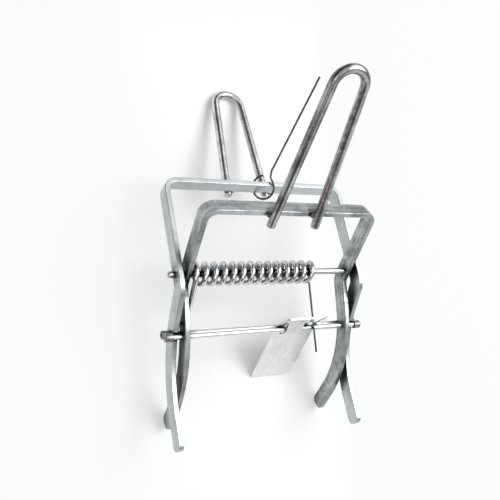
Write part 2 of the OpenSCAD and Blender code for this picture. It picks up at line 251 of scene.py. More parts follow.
def camera():
    ahead = np.array([math.sin(CAM_HEADING) * math.cos(CAM_PITCH),
                      math.cos(CAM_HEADING) * math.cos(CAM_PITCH),
                      -math.sin(CAM_PITCH)])
    level = np.array([math.cos(CAM_HEADING), -math.sin(CAM_HEADING), 0.0])
    up = np.cross(level, ahead)
    right = level * math.cos(CAM_ROLL) + up * math.sin(CAM_ROLL)
    above = -level * math.sin(CAM_ROLL) + up * math.cos(CAM_ROLL)
    data = bpy.data.cameras.new("camera")
    data.sensor_width = SENSOR_W
    data.lens = CAM_FOCAL * SENSOR_W / FRAME_PIXELS
    data.clip_start = CLIP_NEAR
    data.clip_end = CLIP_FAR
    holder = bpy.data.objects.new("camera", data)
    bpy.context.scene.collection.objects.link(holder)
    stand = Matrix((turn(right), turn(above), -turn(ahead))).transposed().to_4x4()
    stand.translation = lie(CAM_AT)
    holder.matrix_world = stand
    bpy.context.scene.camera = holder


camera()

# Mesh tools
NORMAL_WEIGHT = 80
EDGE_STEPS = 3
UV_PER_METRE = 10
# A flat end's UVs follow its rim, with this slant
END_SLANT = 3
# Where a wire's rounded end gets rings, as shares of its rounding
END_STEPS = (0.0, 0.15, 0.45, 1.0)


def new_object(name, verts, faces, uv=None):
    mesh = bpy.data.meshes.new(name)
    mesh.from_pydata([tuple(v) for v in verts], [], faces)
    if uv is not None:
        layer = mesh.uv_layers.new(name="lay")
        layer.data.foreach_set("uv", [c for face in uv for co in face for c in co])
    mesh.update()
    piece = bpy.data.objects.new(name, mesh)
    bpy.context.scene.collection.objects.link(piece)
    return piece


def face_outward(piece):
    """Turns all faces of a closed mesh to look out of it."""
    bm = bmesh.new()
    bm.from_mesh(piece.data)
    bmesh.ops.recalc_face_normals(bm, faces=bm.faces)
    bm.to_mesh(piece.data)
    bm.free()
    return piece


def finish_mesh(piece, angle, weighted=True):
    """Smooth shading up to an angle between faces, with flat faces kept flat by weighted normals."""
    for p in piece.data.polygons:
        p.use_smooth = True
    piece.data.set_sharp_from_angle(angle=math.radians(angle))
    if weighted:
        even = piece.modifiers.new("even", "WEIGHTED_NORMAL")
        even.keep_sharp = True
        even.weight = NORMAL_WEIGHT
    return piece


def sweep(name, rings):
    """A closed skin over rings of equal numbers of points, in m. Its 'lay' UVs run along and round it."""
    n, k = len(rings), len(rings[0])
    middles = [sum((Vector(p) for p in r), Vector()) / k for r in rings]
    along = [0.0]
    for a, b in zip(middles, middles[1:]):
        along.append(along[-1] + (b - a).length)
    widest = max(rings, key=lambda r: (Vector(r[0]) - Vector(r[k // 2])).length)
    girth = [0.0]
    for i in range(k):
        girth.append(girth[-1] + (Vector(widest[(i + 1) % k]) - Vector(widest[i])).length)
    us = [a * UV_PER_METRE for a in along]
    vs = [g * UV_PER_METRE for g in girth]
    faces, uv = [], []
    for i in range(n - 1):
        for j in range(k):
            a, b = i * k + j, i * k + (j + 1) % k
            faces.append((a, b, b + k, a + k))
            uv.append([(us[i], vs[j]), (us[i], vs[j + 1]), (us[i + 1], vs[j + 1]), (us[i + 1], vs[j])])
    faces.append(tuple(range(k - 1, -1, -1)))
    uv.append([(us[0] + girth[j] * END_SLANT, vs[j]) for j in range(k - 1, -1, -1)])
    faces.append(tuple((n - 1) * k + j for j in range(k)))
    uv.append([(us[-1] + girth[j] * END_SLANT, vs[j]) for j in range(k)])
    return face_outward(new_object(name, [p for r in rings for p in r], faces, uv))


def carried(path, first):
    """Two side vectors at each point of a path, turned as little as possible from point to point."""
    out, side = [], Vector(first)
    last = len(path) - 1
    for i in range(len(path)):
        t = (path[min(i + 1, last)] - path[max(i - 1, 0)]).normalized()
        side = (side - side.dot(t) * t).normalized()
        out.append((side, t.cross(side).normalized()))
    return out


def circle_directions(u, v, sides):
    angles = [2 * math.pi * j / sides for j in range(sides)]
    return [u * math.cos(a) + v * math.sin(a) for a in angles]


def rounded_end(tip, inward, radius, size):
    """Points and radii that round a wire's end, from its tip inwards."""
    return [(tip + inward * size * s, radius - size * (1 - math.sqrt(1 - (1 - s) ** 2)))
            for s in END_STEPS]


def tube(name, path, radius, sides, first=(1, 0, 0), end_round=0.0):
    """A round wire along points in m. end_round softens its two ends."""
    path = [Vector(p) for p in path]
    stations = [(p, radius) for p in path]
    if end_round:
        forth = (path[1] - path[0]).normalized()
        back = -(path[-1] - path[-2]).normalized()
        stations = (rounded_end(path[0], forth, radius, end_round) + stations[1:-1]
                    + rounded_end(path[-1], back, radius, end_round)[::-1])
    rings = []
    for (p, r), (u, v) in zip(stations, carried([station[0] for station in stations], first)):
        rings.append([p + d * r for d in circle_directions(u, v, sides)])
    return sweep(name, rings)


def turned(name, start, direction, profile, sides=40):
    """A turned piece: profile is (place along the axis, radius) in mm."""
    start, axis = Vector(start), Vector(direction).normalized()
    u = turn((0, 1, 0))
    u = (u - u.dot(axis) * axis).normalized()
    v = axis.cross(u)
    rings = []
    for s, r in profile:
        centre = start + axis * s * MM
        rings.append([centre + d * r * MM for d in circle_directions(u, v, sides)])
    return sweep(name, rings)


def smooth_path(points, per):
    """A smooth curve through points, with per steps between two of them."""
    pts = [Vector(p) for p in points]
    pts = [pts[0] * 2 - pts[1]] + pts + [pts[-1] * 2 - pts[-2]]
    out = []
    for i in range(1, len(pts) - 2):
        a, b, c, d = pts[i - 1:i + 3]
        for j in range(per):
            t = j / per
            out.append(0.5 * ((2 * b) + (c - a) * t + (2 * a - 5 * b + 4 * c - d) * t * t
                              + (3 * b - a - 3 * c + d) * t ** 3))
    out.append(pts[-2])
    return out


def box_section(half_width, half_thick, r):
    """Points of a rounded box round its middle, in mm, with edges of radius r."""
    out = []
    for sx, sy, a0 in ((1, 1, 0), (-1, 1, 90), (-1, -1, 180), (1, -1, 270)):
        for i in range(EDGE_STEPS + 1):
            a = a0 + 90 * i / EDGE_STEPS
            out.append((sx * (half_width - r) + r * cosd(a), sy * (half_thick - r) + r * sind(a)))
    return out


def apply_modifiers(piece):
    bpy.context.view_layer.update()
    graph = bpy.context.evaluated_depsgraph_get()
    mesh = bpy.data.meshes.new_from_object(
        piece.evaluated_get(graph), preserve_all_data_layers=True, depsgraph=graph)
    old = piece.data
    piece.modifiers.clear()
    piece.data = mesh
    bpy.data.meshes.remove(old)


def rod_cutter(a, b, r, sides):
    """A plain rod from a to b, in m, to cut a hole with."""
    return tube("cutter", [a, (Vector(a) + Vector(b)) / 2, b], r, sides, first=turn((0, 1, 0)))


def combine(piece, others, operation="DIFFERENCE"):
    """Cuts the other objects out of the first, or joins them to it, and deletes them."""
    for other in others:
        cut = piece.modifiers.new("cut", "BOOLEAN")
        cut.operation = operation
        cut.solver = "EXACT"
        cut.object = other
    apply_modifiers(piece)
    for other in others:
        mesh = other.data
        bpy.data.objects.remove(other)
        bpy.data.meshes.remove(mesh)


# Materials
class Tree:
    """A node tree, built from calls."""

    def __init__(self, tree):
        self.tree = tree
        self.tree.nodes.clear()
        self.coords = self.add("ShaderNodeTexCoord")

    def fill(self, node, values):
        """Sets or links the inputs of a node."""
        for key, value in values.items():
            if isinstance(value, bpy.types.NodeSocket):
                self.tree.links.new(value, node.inputs[key])
            else:
                node.inputs[key].default_value = value

    def add(self, kind, values=None, **props):
        node = self.tree.nodes.new(kind)
        for k, v in props.items():
            setattr(node, k, v)
        self.fill(node, values or {})
        return node

    def mapped(self, source, scale, shift=(0, 0, 0)):
        values = {"Vector": source, "Scale": scale, "Location": shift}
        return self.add("ShaderNodeMapping", values).outputs[0]

    def noise(self, vector, scale, detail, rough, distort=0.0):
        values = {"Vector": vector, "Scale": scale, "Detail": detail,
                  "Roughness": rough, "Distortion": distort}
        return self.add("ShaderNodeTexNoise", values).outputs["Fac"]

    def math(self, op, a, b, clamp=False):
        return self.add("ShaderNodeMath", {0: a, 1: b}, operation=op, use_clamp=clamp).outputs[0]

    def size(self, a):
        """A value without its sign."""
        return self.add("ShaderNodeMath", {0: a}, operation="ABSOLUTE").outputs[0]

    def vector_math(self, op, a, b):
        return self.add("ShaderNodeVectorMath", {0: a, 1: tuple(b)}, operation=op)

    def span(self, value, lo, hi, to_lo=0.0, to_hi=1.0, smooth=True):
        """Brings lo..hi to to_lo..to_hi, and holds it there outside."""
        values = {"Value": value, "From Min": lo, "From Max": hi, "To Min": to_lo, "To Max": to_hi}
        kind = "SMOOTHSTEP" if smooth else "LINEAR"
        return self.add("ShaderNodeMapRange", values, interpolation_type=kind).outputs[0]

    def mix(self, fac, a, b):
        a, b = (v if isinstance(v, bpy.types.NodeSocket) else (*v, 1.0) for v in (a, b))
        return self.add("ShaderNodeMix", {0: fac, 6: a, 7: b}, data_type="RGBA").outputs[2]

    def near(self, point, r0, r1, axis_x=False):
        """1 within r0 of a point of the row frame, 0 beyond r1.

        With axis_x, the distance is taken from a line along X.
        """
        source = self.coords.outputs["Object"]
        if axis_x:
            source = self.vector_math("MULTIPLY", source, (0, 1, 1)).outputs[0]
            point = (0, point[1], point[2])
        distance = self.vector_math("DISTANCE", source, point).outputs["Value"]
        return self.span(distance, r0, r1, 1.0, 0.0)

    def painted_gap_shade(self, reach, lo, hi):
        """Painted shade: 0 on open faces, 1 deep in a gap, where other surfaces are close and shade falls.
        """
        node = self.add("ShaderNodeAmbientOcclusion", {"Distance": reach}, samples=8)
        return self.span(node.outputs["AO"], lo, hi, 1.0, 0.0)

    def bump(self, height, strength, distance, under=None):
        values = {"Height": height, "Strength": strength, "Distance": distance}
        if under is not None:
            values["Normal"] = under
        return self.add("ShaderNodeBump", values).outputs[0]


class Surface(Tree):
    """A material of one shader, with the 'lay' UVs at hand."""

    def __init__(self, name):
        self.mat = bpy.data.materials.new(name)
        self.mat.use_nodes = True
        super().__init__(self.mat.node_tree)
        self.shader = self.add("ShaderNodeBsdfPrincipled")
        self.end = self.add("ShaderNodeOutputMaterial", {0: self.shader.outputs[0]})
        self.uv = self.add("ShaderNodeUVMap", uv_map="lay")


# Noise scales for a metre: clouds of about 10 mm, patches of 2.4 mm and pits of 0.4 mm
CLOUD_SCALE = 95.0
PATCH_SCALE = 420.0
PIT_SCALE = 2600.0
# Noise scales for a UV unit, along and across, and the broad bands' scales as shares of the lines'
SCUFF_SCALE = (22, 420, 1)
BAND_SHARE = (0.8, 0.16)
GRIME = (0.05, 0.045, 0.04)
# Colour of the painted shade where parts come close
GAP_SHADE = (0.015, 0.016, 0.018)
ROUGHEST = 0.75
# Where the other frame's leg rubs round the pivot, in m
RUB_FROM = 0.0028
RUB_TO = 0.0085


def metal(name, light, dark, rough, streak=1.0, blotch=1.0, pits=1.0, scuffs=1.0,
          grime_at=(), grime_r=0.0, axis_rub=None, line_scale=(3.0, 260.0), gaps=None):
    """Plated or drawn steel: drawing lines along the 'lay' UVs, cloudy tone, fine pits and scuffs.

    rough gives the roughness of the smooth and of the rough lines. Grime lies within grime_r of
    the places grime_at. axis_rub is a place on the line along X that something turns on. gaps is
    the reach, the two limits and the strength of the painted shade, darker where other surfaces come
    close.
    """
    m = Surface(name)
    uv, obj = m.uv.outputs[0], m.coords.outputs["Object"]
    lines = m.noise(m.mapped(uv, (line_scale[0], line_scale[1], 1)), 1.0, 4.0, 0.6)
    band_scale = (line_scale[0] * BAND_SHARE[0], line_scale[1] * BAND_SHARE[1], 1)
    bands = m.noise(m.mapped(uv, band_scale, (3, 7, 0)), 1.0, 3.0, 0.5)
    cloud = m.noise(obj, CLOUD_SCALE, 4.0, 0.6, 0.3)
    patch = m.noise(obj, PATCH_SCALE, 3.0, 0.6, 0.6)
    fine = m.noise(obj, PIT_SCALE, 2.0, 0.6)

    # Tone, from light to dark
    tone = m.math("ADD", m.span(bands, 0.3, 0.7, 0, 0.45 * streak),
                  m.span(cloud, 0.35, 0.68, 0, 0.55 * blotch))
    tone = m.math("ADD", tone, m.span(patch, 0.5, 0.72, 0, 0.3 * blotch), clamp=True)
    colour = m.mix(tone, light, dark)
    value = m.math("ADD", m.span(lines, 0.3, 0.7, rough[0], rough[1], False),
                   m.span(patch, 0.45, 0.7, 0, 0.12 * blotch))

    # Bright scuffs
    scuff = m.noise(m.mapped(uv, SCUFF_SCALE, (11, 2, 0)), 1.0, 2.0, 0.5, 0.4)
    scuff = m.math("MULTIPLY", m.span(scuff, 0.64, 0.7), m.span(cloud, 0.45, 0.6))
    bright = tuple(min(1, c * 1.5 + 0.1) for c in light)
    colour = m.mix(m.math("MULTIPLY", scuff, 0.5 * scuffs), colour, bright)
    value = m.math("ADD", value, m.math("MULTIPLY", scuff, 0.12 * scuffs))

    # Dirt round the pivot and at the welds, and painted shade in gaps
    if axis_rub is not None:
        rub = m.near(axis_rub, RUB_FROM, RUB_TO, axis_x=True)
        uneven = m.span(patch, 0.35, 0.7, 0.15, 0.75)
        colour = m.mix(m.math("MULTIPLY", rub, uneven), colour, GRIME)
        value = m.math("ADD", value, m.math("MULTIPLY", rub, 0.08))
    for place in grime_at:
        spot = m.near(place, grime_r * 0.25, grime_r)
        spot = m.math("MULTIPLY", spot, m.span(patch, 0.3, 0.62, 0.35, 1.0))
        colour = m.mix(m.math("MULTIPLY", spot, 0.8), colour, GRIME)
        value = m.math("ADD", value, m.math("MULTIPLY", spot, 0.2))
    # Painted shade: the colour darkens by ambient occlusion where other surfaces come close
    if gaps is not None:
        reach, lo, hi, strength = gaps
        colour = m.mix(m.math("MULTIPLY", m.painted_gap_shade(reach, lo, hi), strength), colour, GAP_SHADE)

    relief = m.bump(lines, 0.22 * streak, 0.00004)
    relief = m.bump(fine, 0.2 * pits, 0.00003, relief)
    relief = m.bump(patch, 0.25 * pits, 0.00006, relief)
    m.fill(m.shader, {"Base Color": colour, "Roughness": m.math("MINIMUM", value, ROUGHEST),
                      "Metallic": 1.0, "Normal": relief})
    return m.mat


def dress(piece, material, node):
    """Gives a piece its material, and lets it stand for its CAD node."""
    piece.data.materials.clear()
    piece.data.materials.append(material)
    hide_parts(node)


def give(piece, material, body, node):
    dress(piece, material, node)
    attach(piece, body)


# Strip frames
TIP_STEPS = 8
SWEEP_STEPS = 24
KNEE_STEPS = 14
CORNER_STEPS = 10
BAR_STATIONS = 9
STRIP_EDGE_R = 0.42
LEAST_HALF_WIDTH = 0.9
# The strip is this much thinner on each face at the three sections nearest a tip
TIP_THINNING = (0.32, 0.1, 0.02)
UNEVEN = 0.03
CUT_PAST = 20
NOTCH_SLACK = 1


def leg_stations(w, rise, lean):
    """Sections of the right leg from its tip up to the bar, and the directions at its top.

    A section is its middle, its directions of width and of thickness, and half its width.
    """
    out = []
    x = w / 2 - STRIP_T / 2
    thick = np.array([1.0, 0, 0])

    def section(p, a, half_width):
        out.append((np.array([x, p[0], p[1]]), np.array([0, *across(a)]), thick, half_width))

    s_end = sweep_end(lean)
    for i in range(TIP_STEPS + 1):
        a = 90 * i / TIP_STEPS
        s = TAIL_LEN - TIP_R + TIP_R * cosd(a)
        section(s_end + s * heading(TAIL_SPLAY), TAIL_SPLAY, STRIP_W / 2 - TIP_R + TIP_R * sind(a))
    for s in (9.0, 4.0, 0.4):
        section(s_end + s * heading(TAIL_SPLAY), TAIL_SPLAY, STRIP_W / 2)
    for i in range(SWEEP_STEPS + 1):
        a = TAIL_SPLAY + SWEEP_ANGLE * i / SWEEP_STEPS
        section(sweep_middle(lean) + SWEEP_R * across(a), a, STRIP_W / 2)
    for s in (RUN_LEN * 0.93, RUN_LEN * 0.5, knee_cut(lean) + 0.6):
        section(knee(lean) + s * heading(RUN_SPLAY), RUN_SPLAY, STRIP_W / 2)
    for i in range(KNEE_STEPS + 1):
        a = RUN_SPLAY - (RUN_SPLAY + lean) * i / KNEE_STEPS
        section(knee_middle(lean) - KNEE_R * across(a), a, STRIP_W / 2)
    wide = np.array([0, *across(-lean)])
    leg_up = np.array([0, sind(lean), cosd(lean)])
    low = float(-(knee_start(lean) + np.array([LEG_OFFSET, 0])) @ heading(-lean))
    straight = rise - CORNER_R - low
    for s in (low + 0.5, low + straight * 0.33, low + straight * 0.66, rise - CORNER_R - 0.3):
        out.append((leaned(lean, 1, x, 0, s), wide, thick, STRIP_W / 2))
    r = CORNER_R - STRIP_T / 2
    for i in range(CORNER_STEPS + 1):
        a = 90 * i / CORNER_STEPS
        p = leaned(lean, 1, w / 2 - CORNER_R + r * cosd(a), 0, rise - CORNER_R + r * sind(a))
        out.append((p, wide, thick * cosd(a) + leg_up * sind(a), STRIP_W / 2))
    return out, wide, leg_up


def cross_cutter(side, y, z, r):
    """A round cutter along X through the whole trap."""
    reach = OUTER_W / 2 + CUT_PAST
    return rod_cutter(lie((-reach, side * y, z)), lie((reach, side * y, z)), r * MM, 40)


def strip_frame(name, w, rise, lean, side, pivot_gap):
    """One bent strip: both jaws, both legs and the bar, with its holes for the rods."""
    right, wide, leg_up = leg_stations(w, rise, lean)
    bar_reach = w / 2 - CORNER_R - 1
    bar = [(leaned(lean, 1, x, 0, rise - STRIP_T / 2), wide, leg_up, STRIP_W / 2)
           for x in np.linspace(bar_reach, -bar_reach, BAR_STATIONS)]
    flip = np.array([-1.0, 1, 1])
    left = [(p * flip, d, t * flip, half_width) for p, d, t, half_width in reversed(right)]
    stations = right + bar + left
    mirror = np.array([1.0, side, 1])
    rings = []
    for i, (p, d, t, half_width) in enumerate(stations):
        from_end = min(i, len(stations) - 1 - i)
        half_thick = STRIP_T / 2
        if from_end < len(TIP_THINNING):
            half_thick = STRIP_T / 2 - TIP_THINNING[from_end]
        edge = min(STRIP_EDGE_R, half_thick * 0.6)
        ring = []
        for a, b in box_section(max(half_width, LEAST_HALF_WIDTH), half_thick, edge):
            # Rolled strip is never quite true: its faces wander by a few hundredths of a millimetre
            spot = Vector((p[0] * 0.06, p[2] * 0.05, p[1] * 0.05)) + Vector((a * 0.05, b * 0.1, 5 * side))
            wander = UNEVEN * noise.noise(spot) if from_end > 3 else 0
            q = p + d * a + t * (b + wander)
            ring.append(lie(q * mirror))
        rings.append(ring)
    piece = sweep(name, rings)
    combine(piece, [
        cross_cutter(side, 0, 0, PIVOT_D / 2 + pivot_gap),
        cross_cutter(side, BAR_HALF, -BAR_DROP, BAR_D / 2 + FIX),
        cross_cutter(side, -BAR_HALF - 1, -BAR_DROP, BAR_D / 2 + FREE + NOTCH_SLACK)])
    return finish_mesh(piece, 32)


def foot_x(rise):
    """Distance of a handle's leg from the handle's middle, where it crosses the bar."""
    return (LOOP_R * cosd(SPREAD)
            + (LOOP_S + LOOP_R * sind(SPREAD) - rise + STRIP_T / 2) * tand(SPREAD))


PIVOT_AT = lie((0, 0, 0))
INNER_WELD_AT = [
    lie(leaned(INNER_LEAN, -1, HANDLE_X + sgn * foot_x(INNER_RISE), STRIP_W / 2, INNER_RISE - STRIP_T / 2))
    for sgn in (-1, 1)]

# gaps sets each metal's painted shade where parts come close
zinc_outer = metal("zinc strip outer", (0.57, 0.603, 0.61), (0.35, 0.38, 0.385), (0.2, 0.38),
                   streak=0.8, blotch=0.8, axis_rub=PIVOT_AT, gaps=(0.012, 0.38, 0.78, 0.82))
zinc_inner = metal("zinc strip inner", (0.58, 0.605, 0.605), (0.24, 0.255, 0.255), (0.22, 0.44),
                   streak=1.1, blotch=1.4, pits=1.6, scuffs=1.3, grime_at=INNER_WELD_AT,
                   grime_r=0.0065, axis_rub=PIVOT_AT, gaps=(0.016, 0.42, 0.86, 0.95))
give(strip_frame("outer_frame_strip", OUTER_W, OUTER_RISE, OUTER_LEAN, 1, FIX),
     zinc_outer, "outer_jaw", "outer_frame")
give(strip_frame("inner_frame_strip", INNER_W, INNER_RISE, INNER_LEAN, -1, TURN),
     zinc_inner, "inner_jaw", "inner_frame")

# Handles
LOOP_STEPS = 36


def handle(name, rise, lean, side, foot):
    """A rod from one foot up its leg, round the loop and down to the other foot."""
    top_x, top_s = LOOP_R * cosd(SPREAD), LOOP_S + LOOP_R * sind(SPREAD)
    length = (top_s - (rise - STRIP_T - foot)) / cosd(SPREAD)
    down = (length, length - 2.2, length * 0.8, length * 0.6, length * 0.4, length * 0.2, 0.8)
    left = [(HANDLE_X - top_x - d * sind(SPREAD), top_s - d * cosd(SPREAD)) for d in down]
    right = [(HANDLE_X + top_x + d * sind(SPREAD), top_s - d * cosd(SPREAD)) for d in down]
    loop = []
    for i in range(LOOP_STEPS + 1):
        a = 180 - SPREAD - (180 - 2 * SPREAD) * i / LOOP_STEPS
        loop.append((HANDLE_X + LOOP_R * cosd(a), LOOP_S + LOOP_R * sind(a)))
    path = [lie(leaned(lean, side, x, HANDLE_OFF, s)) for x, s in left + loop + right[::-1]]
    rod = tube(name, path, HANDLE_D / 2 * MM, 28, first=turn((0, side, 0)), end_round=0.35 * MM)
    return finish_mesh(rod, 40, False)


handle_far = metal("handle rod far", (0.92, 0.925, 0.93), (0.4, 0.4, 0.4), (0.12, 0.3),
                   streak=1.5, pits=1.2, scuffs=1.4, line_scale=(1.6, 190.0))
handle_near = metal("handle rod near", (0.74, 0.735, 0.72), (0.15, 0.147, 0.14), (0.12, 0.32),
                    streak=1.6, pits=1.2, scuffs=1.5, grime_at=INNER_WELD_AT,
                    grime_r=0.0045, line_scale=(1.6, 190.0))
give(handle("outer_handle_rod", OUTER_RISE, OUTER_LEAN, 1, OUTER_FOOT),
     handle_far, "outer_jaw", "outer_handle")
give(handle("inner_handle_rod", INNER_RISE, INNER_LEAN, -1, INNER_FOOT),
     handle_near, "inner_jaw", "inner_handle")

# Weld beads: half sizes across, outwards and along, in mm
BEAD_HALF = (1.35, 1.15, 1.75)
BEAD_SINK = 0.15
BEAD_STAND = 0.75
RIPPLE = 0.07
LUMP = 0.16


def beads(name, rise, lean, side):
    """A fillet on each side of both handle legs, lumpy, with the ripples of a short weld."""
    bm = bmesh.new()
    for sgn in (-1, 1):
        for edge in (-1, 1):
            before = len(bm.verts)
            bmesh.ops.create_icosphere(bm, subdivisions=4, radius=1.0)
            bm.verts.ensure_lookup_table()
            cx = HANDLE_X + sgn * foot_x(rise) + edge * (HANDLE_D / 2 - BEAD_SINK)
            for v in bm.verts[before:]:
                n = v.co.copy()
                ripple = RIPPLE * math.sin(n.z * 11 + n.x * 2 + sgn)
                lump = 1 + LUMP * noise.noise(n * 1.7 + Vector((sgn * 3, edge * 5, side * 7))) + ripple
                x, off, s = (n[i] * BEAD_HALF[i] * lump for i in range(3))
                slip = -sgn * s * tand(SPREAD)
                v.co = lie(leaned(lean, side, cx + x + slip, STRIP_W / 2 + BEAD_STAND + off,
                                  rise - STRIP_T / 2 + s))
    bmesh.ops.recalc_face_normals(bm, faces=bm.faces)
    piece = new_object(name, [], [])
    bm.to_mesh(piece.data)
    bm.free()
    piece.data.uv_layers.new(name="lay")
    return finish_mesh(piece, 180, False)


def weld_material():
    """Dark scale with rust-brown specks."""
    m = Surface("weld metal")
    obj = m.coords.outputs["Object"]
    scale = m.noise(obj, 900.0, 4.0, 0.6)
    specks = m.noise(obj, 3500.0, 3.0, 0.6)
    colour = m.mix(m.span(scale, 0.35, 0.65), (0.34, 0.33, 0.33), (0.07, 0.06, 0.055))
    colour = m.mix(m.span(specks, 0.62, 0.75), colour, (0.4, 0.27, 0.16))
    relief = m.bump(specks, 0.5, 0.0001, m.bump(scale, 0.4, 0.00015))
    m.fill(m.shader, {"Base Color": colour, "Roughness": m.span(scale, 0.3, 0.7, 0.32, 0.6, False),
                      "Metallic": 1.0, "Normal": relief})
    return m.mat


weld = weld_material()
give(beads("outer_weld_beads", OUTER_RISE, OUTER_LEAN, 1), weld, "outer_jaw", "outer_welds")
give(beads("inner_weld_beads", INNER_RISE, INNER_LEAN, -1), weld, "inner_jaw", "inner_welds")

# Rods, bars and collars
ROD_STATIONS = 14
ROD_END = 8
COLLAR_STATIONS = 7
COLLAR_SINK = 0.02
CRIMP = 0.1
CRIMP_LEN = 0.9


def pivot_rod():
    """Domed on the left, where it stands out of the leg, and only eased on the right."""
    length = OUTER_W + PIVOT_LEFT + PIVOT_RIGHT
    r = PIVOT_D / 2
    profile = [(r - r * cosd(a), r * sind(a)) for a in (8, 20, 35, 50, 65, 80)] + [(r + 0.2, r)]
    profile += [(s, r) for s in np.linspace(ROD_END, length - ROD_END, ROD_STATIONS)]
    profile += [(length - 0.5, r), (length - 0.22, r - 0.06), (length - 0.06, r - 0.24), (length, r - 0.5)]
    start = lie((-OUTER_W / 2 - PIVOT_LEFT, 0, 0))
    return finish_mesh(turned("pivot_rod_turned", start, (1, 0, 0), profile), 40)


def crossbar(name, side):
    reach = OUTER_W / 2 + COLLAR_LEN
    r, length = BAR_D / 2, 2 * reach
    end = [(0, r - 0.42), (0.06, r - 0.2), (0.2, r - 0.05), (0.42, r)]
    profile = end + [(s, r) for s in np.linspace(ROD_END, length - ROD_END, ROD_STATIONS)]
    profile += [(length - s, q) for s, q in reversed(end)]
    start = lie((-reach, side * BAR_HALF, -BAR_DROP))
    return finish_mesh(turned(name, start, (1, 0, 0), profile), 40)


def collar(name, side, gap, sgn):
    """A crimped collar: squeezed with small flats, so that it isn't quite round."""
    length = COLLAR_LEN - gap
    r, bore = COLLAR_D / 2, BAR_D / 2 - COLLAR_SINK
    profile = [(0, bore), (0, r - 0.45), (0.1, r - 0.15), (0.3, r - 0.03), (0.5, r)]
    profile += [(s, r) for s in np.linspace(1.0, length - 1.0, COLLAR_STATIONS)]
    profile += [(length - 0.5, r), (length - 0.3, r - 0.03), (length - 0.1, r - 0.15),
                (length, r - 0.45), (length, bore)]
    start = lie(((OUTER_W / 2 + gap) * sgn, side * BAR_HALF, -BAR_DROP))
    piece = turned(name + str(sgn), start, (sgn, 0, 0), profile, 48)
    centre = lie((0, side * BAR_HALF, -BAR_DROP))
    for v in piece.data.vertices:
        q = v.co - centre
        if math.hypot(q.y, q.z) > bore * MM * 1.05:
            along = abs(v.co.x) / MM - OUTER_W / 2 - gap
            depth = math.exp(-((along - length / 2) / CRIMP_LEN) ** 2)
            flat = max(0, math.cos(2 * math.atan2(q.z, q.y))) ** 3
            squeeze = 1 - CRIMP * depth * flat
            v.co.y = centre.y + q.y * squeeze
            v.co.z = centre.z + q.z * squeeze
    return piece


def collar_pair(name, side, gap):
    left, right = collar(name, side, gap, -1), collar(name, side, gap, 1)
    bm = bmesh.new()
    bm.from_mesh(left.data)
    bm.from_mesh(right.data)
    bm.to_mesh(left.data)
    bm.free()
    bpy.data.objects.remove(right)
    left.name = name
    return finish_mesh(left, 40)


ROD_WEAR = {"streak": 0.7, "blotch": 0.6, "pits": 0.7, "scuffs": 0.8, "line_scale": (2.5, 150.0)}
zinc_rod = metal("zinc rod", (0.72, 0.74, 0.76), (0.45, 0.47, 0.5), (0.14, 0.28),
                 gaps=(0.008, 0.45, 0.88, 0.95), **ROD_WEAR)
zinc_bar = metal("zinc crossbar", (0.88, 0.89, 0.9), (0.62, 0.63, 0.65), (0.26, 0.42),
                 gaps=(0.01, 0.45, 0.88, 0.94), **ROD_WEAR)
collar_metal = metal("collar metal", (0.42, 0.43, 0.44), (0.16, 0.16, 0.165), (0.28, 0.45),
                     streak=0.6, blotch=1.2, pits=1.2, line_scale=(30.0, 60.0))
give(pivot_rod(), zinc_rod, "outer_jaw", "pivot_rod")
give(crossbar("outer_crossbar_rod", 1), zinc_bar, "outer_jaw", "outer_crossbar")
give(crossbar("inner_crossbar_rod", -1), zinc_bar, "inner_jaw", "inner_crossbar")
give(collar_pair("outer_bar_end_collars", 1, 0),
     collar_metal, "outer_jaw", "outer_bar_collars")
give(collar_pair("inner_bar_end_collars", -1, FREE),
     collar_metal, "inner_jaw", "inner_bar_collars")

# Torsion spring. The source's wire has six sides and the same area, and its corners set the hook's place.
SOURCE_SIDES = 6
WIRE_REACH = SPRING_D / 2 * math.sqrt(2 * math.pi / (SOURCE_SIDES * sind(360 / SOURCE_SIDES)))
HOOK_REACH = SWEEP_R + STRIP_W / 2 + FIX + WIRE_REACH
HOOK_PLACE = sweep_middle(OUTER_LEAN) + HOOK_REACH * across(RUN_SPLAY - SPRING_HOOK_AT)
# The last part of a turn is drawn in to the pivot rod and moves to the right, in turns and in mm
DRAW_IN = 0.3
DRAW_RIGHT = 0.8
COIL_END_R = PIVOT_D / 2 + FREE + SPRING_D / 2
TURN_STEPS = 44
# The leg bends into the coil from this far before the coil's start
LEG_BACK = 1.6


def drawn(t):
    u = max(0.0, (t - COIL_TURNS + DRAW_IN) / DRAW_IN)
    return u * u * (3 - 2 * u)


def coil_point(t):
    """Place on the coil's middle line after t turns."""
    r = COIL_R - (COIL_R - COIL_END_R) * drawn(t)
    a = 360 * t
    return np.array([COIL_LEFT + COIL_PITCH * t + DRAW_RIGHT * drawn(t), -r * cosd(a), r * sind(a)])


def unit(v):
    return v / np.linalg.norm(v)


